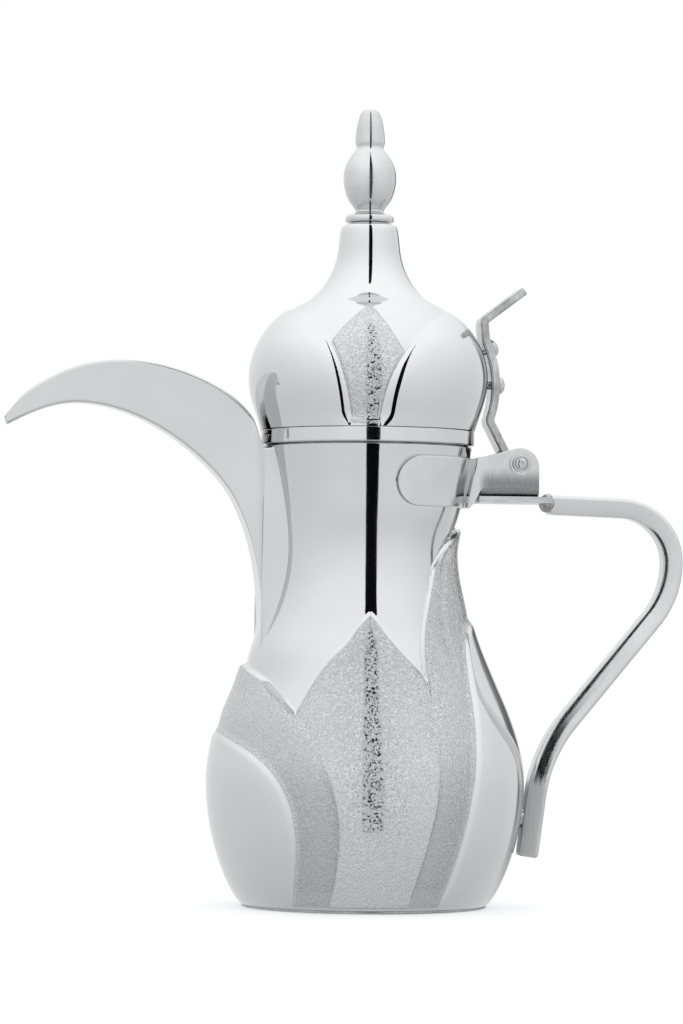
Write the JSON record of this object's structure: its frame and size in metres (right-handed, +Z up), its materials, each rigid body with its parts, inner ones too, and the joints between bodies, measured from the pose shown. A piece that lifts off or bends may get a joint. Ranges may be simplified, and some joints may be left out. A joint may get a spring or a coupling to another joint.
{
  "type": "dallah coffee pot",
  "caption": "Polished steel Arabic coffee pot with a crescent spout, bent bar handle, hinged dome lid, thumb lever and finial.",
  "frame": {"origin": "centre of the base's underside, on the pot's axis", "axes": "+Z up along the pot's axis, +X towards the handle and hinge, -X towards the spout, +Y across"},
  "size_m": [0.2565, 0.1196, 0.3],
  "materials": {
    "polished_steel": "mirror polish, with etched petals on the body and lid",
    "satin_steel": "brushed",
    "weld_metal": "weld bead, ground and buffed"
  },
  "bodies": {
    "pot": {"body_shell": "polished_steel", "base_plate": "satin_steel", "spout_front_half": "polished_steel", "spout_back_half": "polished_steel", "spout_weld": "weld_metal", "hinge_bracket": "satin_steel", "hinge_base_plate": "satin_steel", "hinge_pin": "polished_steel", "pin_washers": "polished_steel", "handle": "polished_steel", "handle_weld": "weld_metal", "handle_foot_weld": "weld_metal"},
    "lid": {"lid_shell": "polished_steel", "lid_band": "polished_steel", "lid_skirt": "satin_steel", "lid_lever": "polished_steel", "lever_rivets": "polished_steel", "rivet_washers": "satin_steel", "finial": "polished_steel", "finial_stud": "satin_steel", "finial_washer": "satin_steel", "finial_nut": "satin_steel"}
  },
  "joints": [
    {"name": "lid_hinge", "type": "hinge", "parent": "pot", "child": "lid", "pos_m": [0.057, 0, 0.1666], "axis": [0, 1, 0], "range_deg": [0, 105]}
  ]
}
